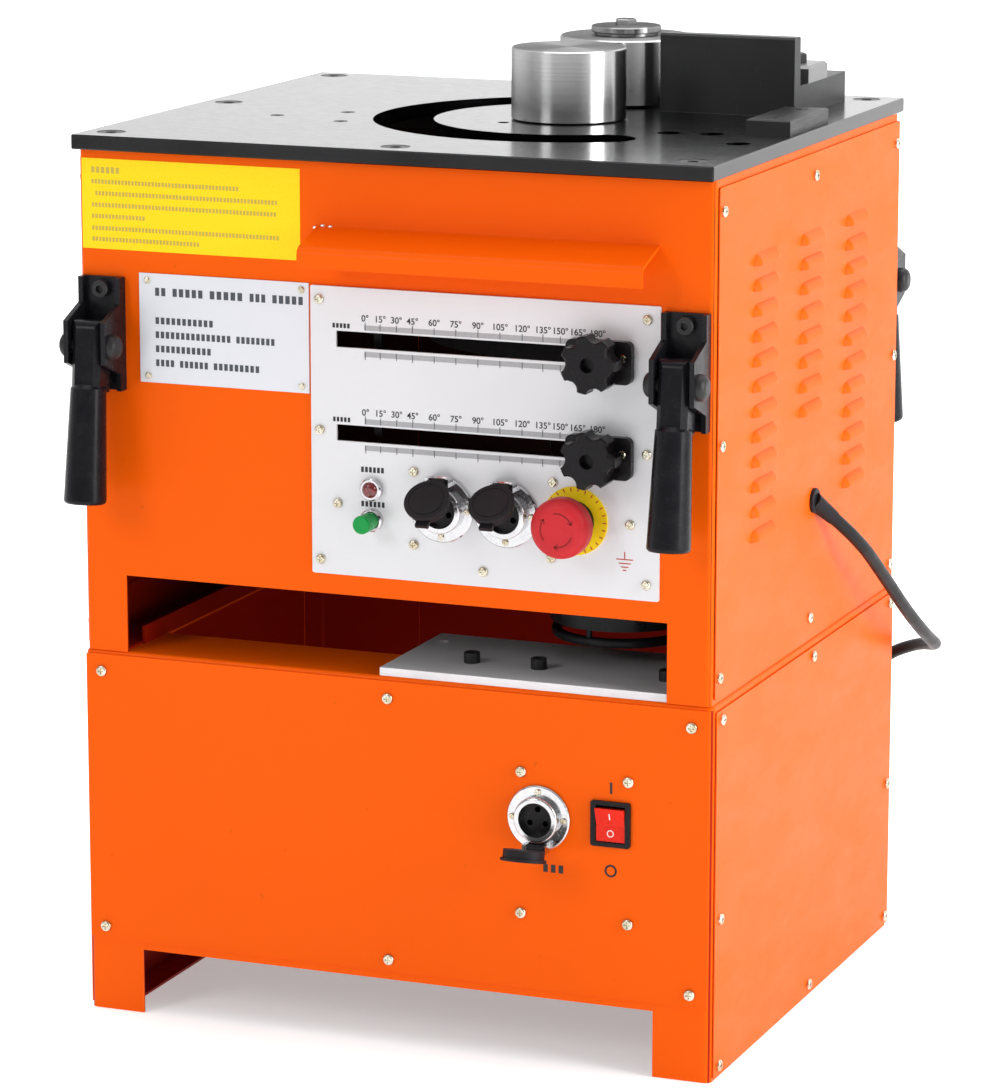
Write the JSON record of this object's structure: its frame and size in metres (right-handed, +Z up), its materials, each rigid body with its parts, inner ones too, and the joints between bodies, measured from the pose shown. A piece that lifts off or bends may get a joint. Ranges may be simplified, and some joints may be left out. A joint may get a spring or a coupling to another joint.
{
  "type": "rebar bender",
  "caption": "Electric rebar bender on a sheet-steel stand: slotted work plate, centre and bending rollers, fence, angle-set control panel and gear drive.",
  "frame": {"origin": "on the floor under the middle of the machine, its cord left out", "axes": "+Z up, +Y to the machine's rear, +X to the operator's right"},
  "size_m": [0.5407, 0.6507, 0.7363],
  "materials": {
    "orange_paint": "powder coat, semi-gloss",
    "zinc_screws": "yellow zinc plated",
    "black_steel": "satin black",
    "primer_steel": "dark primer",
    "bright_steel": "turned and ground",
    "panel_silver": "fine satin",
    "chrome": "polished",
    "red_lens": "clear red",
    "green_plastic": "glossy",
    "yellow_plastic": "glossy",
    "black_plastic": "moulded",
    "grip_plastic": "moulded, slightly worn",
    "red_plastic": "glossy",
    "rubber": "soft matt",
    "cord_sheath": "smooth sheath",
    "gear_steel": "machined, oiled",
    "cast_iron": "painted casting",
    "motor_paint": "black enamel"
  },
  "bodies": {
    "machine": {"stand_frame": "orange_paint", "stand_front_panel": "orange_paint", "stand_rear_panel": "orange_paint", "stand_side_panels": "orange_paint", "cabinet_frame": "orange_paint", "cabinet_rear_panel": "orange_paint", "cabinet_side_panels": "orange_paint", "visor": "orange_paint", "cabinet_screws": "zinc_screws", "panel_fasteners": "zinc_screws", "plate_bolts": "black_steel", "handle_fasteners": "black_steel", "top_frame": "primer_steel", "work_plate": "black_steel", "fence": "black_steel", "handle_brackets": "black_steel", "fence_clamp": "bright_steel", "stop_block": "black_steel", "base_plate": "bright_steel", "guide_rod": "bright_steel", "control_panel": "panel_silver", "name_plate": "panel_silver", "indicator_bezels": "chrome", "socket_flanges": "chrome", "lamp_lens": "red_lens", "estop_disc": "yellow_plastic", "estop_housing": "black_plastic", "rocker_frame": "black_plastic", "socket_inserts": "black_plastic", "gearbox_case": "cast_iron", "gearbox_cover": "cast_iron", "motor_housing": "motor_paint", "cable_boot": "rubber", "power_cord": "cord_sheath", "cord_coil": "cord_sheath", "power_plug": "cord_sheath"},
    "spindle": {"spindle_arm": "gear_steel", "main_gear": "gear_steel", "roller_pin": "bright_steel", "roller_cap": "bright_steel"},
    "bending_roller_body": {"bending_roller": "bright_steel"},
    "centre_roller_body": {"centre_roller": "bright_steel"},
    "layshaft_body": {"layshaft": "gear_steel"},
    "rotor": {"motor_rotor": "gear_steel"},
    "trip": {"trip_carriage": "gear_steel"},
    "upper_slider": {"slider_upper": "black_plastic"},
    "lower_slider": {"slider_lower": "black_plastic"},
    "upper_knob": {"knob_upper": "black_plastic"},
    "lower_knob": {"knob_lower": "black_plastic"},
    "cap_left": {"socket_cap_left": "rubber"},
    "cap_right": {"socket_cap_right": "rubber"},
    "cap_stand": {"socket_cap_stand": "rubber"},
    "button": {"start_button": "green_plastic"},
    "stop_plunger": {"estop_plunger": "black_plastic"},
    "stop_head": {"estop_head": "red_plastic"},
    "rocker": {"rocker_button": "red_plastic"},
    "handle_front_left": {"grip_front_left": "grip_plastic"},
    "handle_front_right": {"grip_front_right": "grip_plastic"},
    "handle_rear_left": {"grip_rear_left": "grip_plastic"},
    "handle_rear_right": {"grip_rear_right": "grip_plastic"}
  },
  "joints": [
    {"name": "spindle_turn", "type": "hinge", "parent": "machine", "child": "spindle", "pos_m": [0.055, 0, 0], "axis": [0, 0, 1], "range_deg": [0, 190]},
    {"name": "bending_roller_spin", "type": "hinge", "parent": "spindle", "child": "bending_roller_body", "pos_m": [0.055, 0.125, 0], "axis": [0, 0, 1], "continuous": true},
    {"name": "centre_roller_spin", "type": "hinge", "parent": "machine", "child": "centre_roller_body", "pos_m": [0.055, 0, 0], "axis": [0, 0, 1], "continuous": true},
    {"name": "layshaft_spin", "type": "hinge", "parent": "machine", "child": "layshaft_body", "pos_m": [0.15728, -0.035, 0], "axis": [0, 0, 1], "continuous": true},
    {"name": "rotor_spin", "type": "hinge", "parent": "machine", "child": "rotor", "pos_m": [0.14, -0.105, 0], "axis": [0, 0, 1], "continuous": true},
    {"name": "trip_slide", "type": "slide", "parent": "machine", "child": "trip", "axis": [1, 0, 0], "range_m": [0, 0.1905]},
    {"name": "slider_upper_slide", "type": "slide", "parent": "machine", "child": "upper_slider", "axis": [1, 0, 0], "range_m": [-0.18, 0]},
    {"name": "slider_lower_slide", "type": "slide", "parent": "machine", "child": "lower_slider", "axis": [1, 0, 0], "range_m": [-0.18, 0]},
    {"name": "knob_upper_spin", "type": "hinge", "parent": "upper_slider", "child": "upper_knob", "pos_m": [0.1645, -0.24, 0.5296], "axis": [0, -1, 0], "continuous": true},
    {"name": "knob_lower_spin", "type": "hinge", "parent": "lower_slider", "child": "lower_knob", "pos_m": [0.1645, -0.24, 0.4605], "axis": [0, -1, 0], "continuous": true},
    {"name": "cap_left_hinge", "type": "hinge", "parent": "machine", "child": "cap_left", "pos_m": [0.0421, -0.2295, 0.433], "axis": [-1, 0, 0], "range_deg": [-46, 62]},
    {"name": "cap_right_hinge", "type": "hinge", "parent": "machine", "child": "cap_right", "pos_m": [0.0923, -0.2295, 0.433], "axis": [-1, 0, 0], "range_deg": [-50, 58]},
    {"name": "cap_stand_hinge", "type": "hinge", "parent": "machine", "child": "cap_stand", "pos_m": [0.1176, -0.229, 0.166], "axis": [1, 0, 0], "range_deg": [-76, 20]},
    {"name": "start_press", "type": "slide", "parent": "machine", "child": "button", "axis": [0, 1, 0], "range_m": [0, 0.003], "stiffness_N_per_m": 800},
    {"name": "stop_press", "type": "slide", "parent": "machine", "child": "stop_plunger", "axis": [0, 1, 0], "range_m": [0, 0.005]},
    {"name": "stop_twist", "type": "hinge", "parent": "stop_plunger", "child": "stop_head", "pos_m": [0.145, -0.24, 0.411], "axis": [0, -1, 0], "range_deg": [0, 45], "stiffness_Nm_per_rad": 0.05},
    {"name": "rocker_tilt", "type": "hinge", "parent": "machine", "child": "rocker", "pos_m": [0.1736, -0.22, 0.1885], "axis": [1, 0, 0], "range_deg": [-18, 0]},
    {"name": "handle_front_left_fold", "type": "hinge", "parent": "machine", "child": "handle_front_left", "pos_m": [-0.229, -0.2425, 0.518], "axis": [-1, 0, 0], "range_deg": [-6, 84]},
    {"name": "handle_rear_left_fold", "type": "hinge", "parent": "machine", "child": "handle_rear_left", "pos_m": [-0.229, 0.2425, 0.525], "axis": [1, 0, 0], "range_deg": [-6, 84]},
    {"name": "handle_front_right_fold", "type": "hinge", "parent": "machine", "child": "handle_front_right", "pos_m": [0.229, -0.2425, 0.518], "axis": [-1, 0, 0], "range_deg": [-6, 84]},
    {"name": "handle_rear_right_fold", "type": "hinge", "parent": "machine", "child": "handle_rear_right", "pos_m": [0.229, 0.2425, 0.525], "axis": [1, 0, 0], "range_deg": [-6, 84]}
  ],
  "couplings": [
    {"joint": "layshaft_spin", "follows": "spindle_turn", "ratio": -5},
    {"joint": "rotor_spin", "follows": "spindle_turn", "ratio": 25},
    {"joint": "trip_slide", "follows": "spindle_turn", "m_per_rad": 0.0573}
  ]
}
